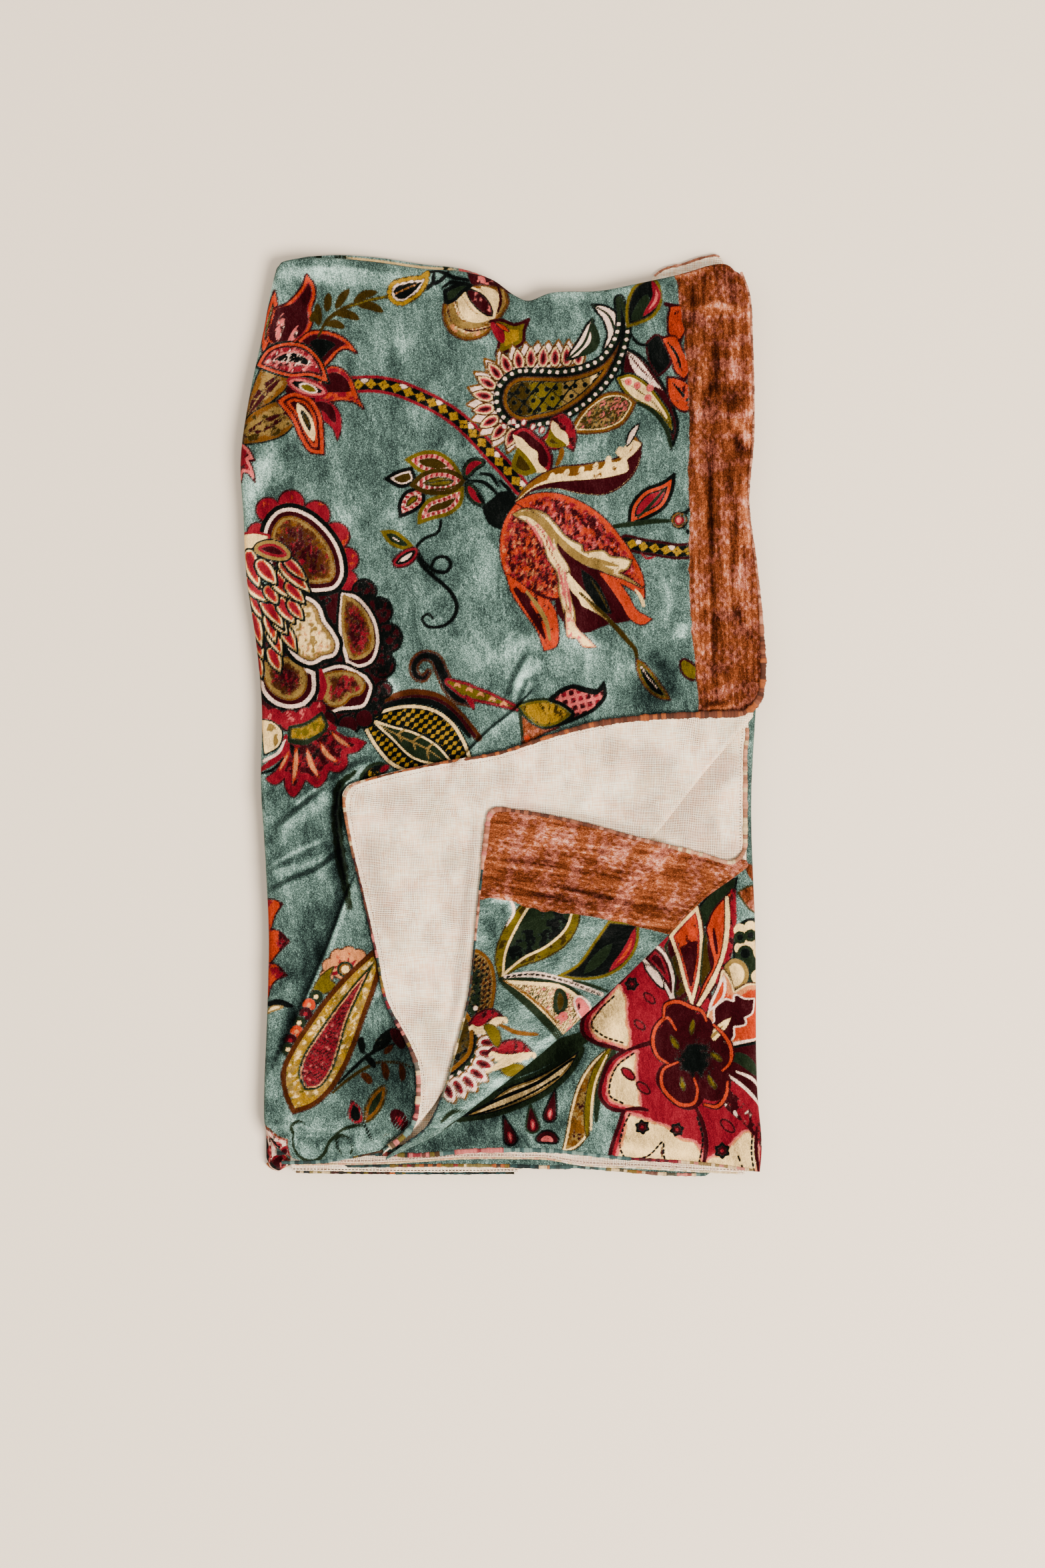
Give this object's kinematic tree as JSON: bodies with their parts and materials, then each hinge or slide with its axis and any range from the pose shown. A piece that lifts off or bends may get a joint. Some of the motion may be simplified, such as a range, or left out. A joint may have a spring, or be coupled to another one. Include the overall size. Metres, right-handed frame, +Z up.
{
  "type": "folded printed velvet scarf",
  "caption": "Large printed velvet scarf folded into a flat rectangular pack, with two corners turned back to show the plain reverse.",
  "frame": {"origin": "centre of the pack's footprint, on the surface that it lies on", "axes": "+Y along the pack's long side towards the fold at the top, +X across it towards the banded end, +Z up out of the pack"},
  "size_m": [0.2949, 0.5194, 0.0248],
  "materials": {
    "velvet": "printed velvet pile with a soft sheen: teal ground, flowers and paisleys, rust band at the ends",
    "reverse": "matt cream plain weave, the unprinted reverse of the velvet"
  },
  "bodies": {
    "root": {"hidden_layers": "velvet", "panel_1": "velvet", "turned_corner_1": "reverse", "panel_2": "reverse", "turned_corner_2": "velvet", "panel_3": "velvet", "panel_4_hem": "reverse", "panel_5_hem": "velvet", "panel_6_hem": "reverse", "fold_end": "velvet", "far_end_corner": "reverse", "back_fold": "velvet"}
  },
  "joints": []
}
